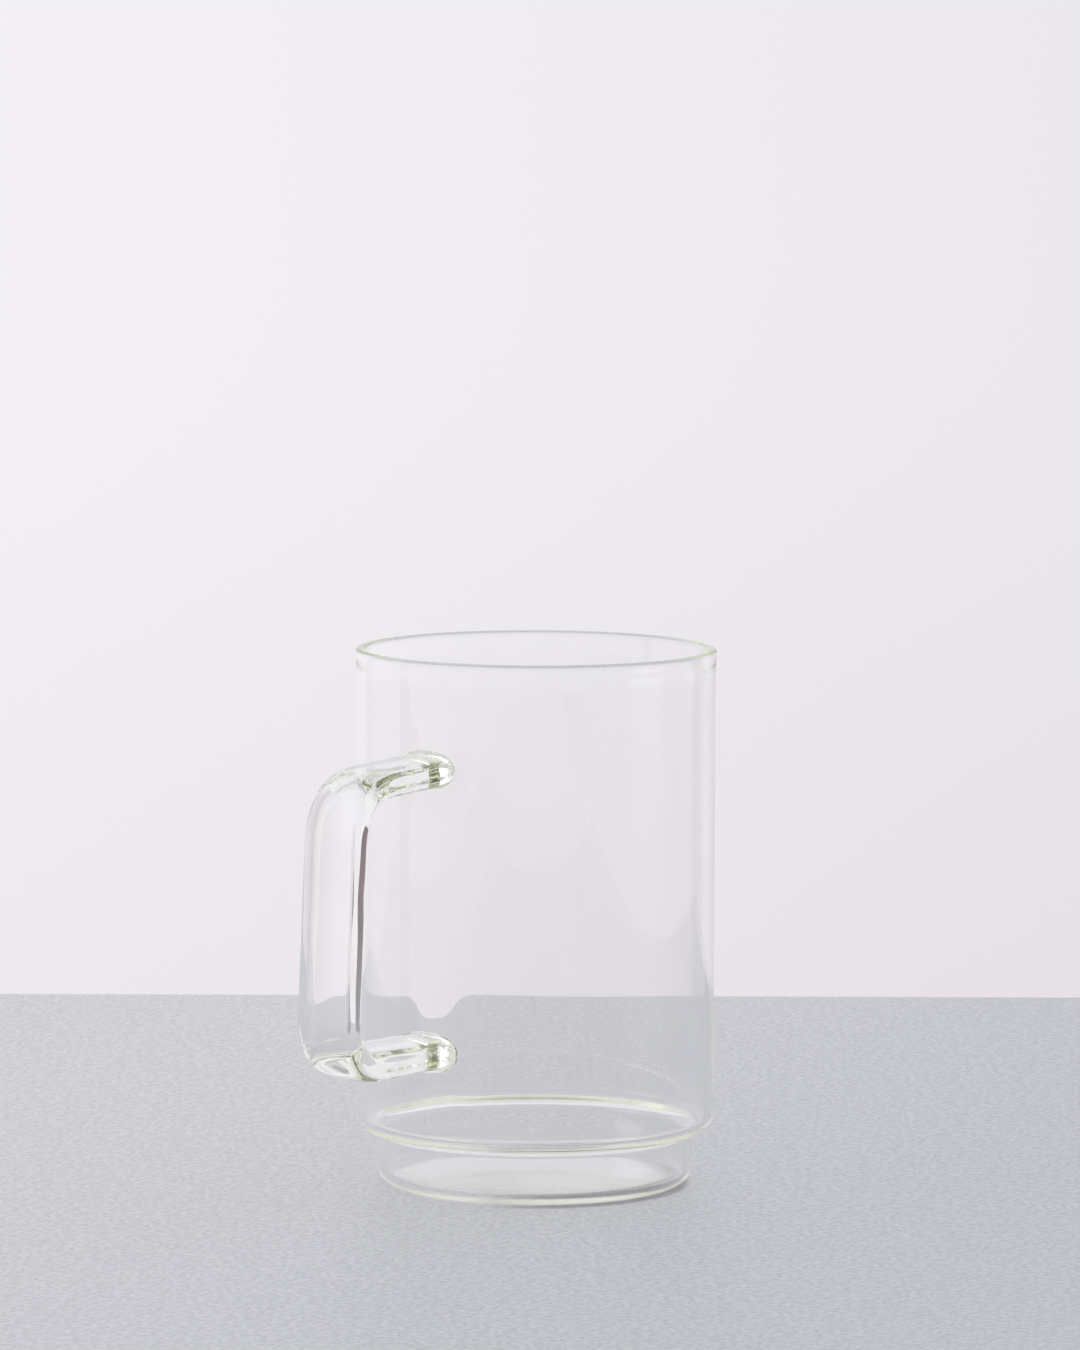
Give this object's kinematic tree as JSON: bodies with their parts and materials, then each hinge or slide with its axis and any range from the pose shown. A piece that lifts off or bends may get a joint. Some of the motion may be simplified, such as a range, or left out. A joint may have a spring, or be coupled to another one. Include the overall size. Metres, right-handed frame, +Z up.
{
  "type": "glass mug",
  "caption": "Clear glass stacking mug with a straight barrel, a stepped foot that nests in another mug's mouth, and a flat strap handle bent into a squared C.",
  "frame": {"origin": "centre of the flat base, on the barrel's axis, where the mug meets the table", "axes": "+Z up along the barrel's axis, +X from the axis towards the handle, +Y to the right of someone who looks from the grip to the barrel"},
  "size_m": [0.117, 0.08, 0.1195],
  "materials": {
    "clear_glass": "clear borosilicate with a faint green tint in thick places, fire-polished"
  },
  "bodies": {
    "root": {"barrel": "clear_glass", "foot_cup": "clear_glass", "handle": "clear_glass", "upper_weld": "clear_glass", "lower_weld": "clear_glass"}
  },
  "joints": []
}
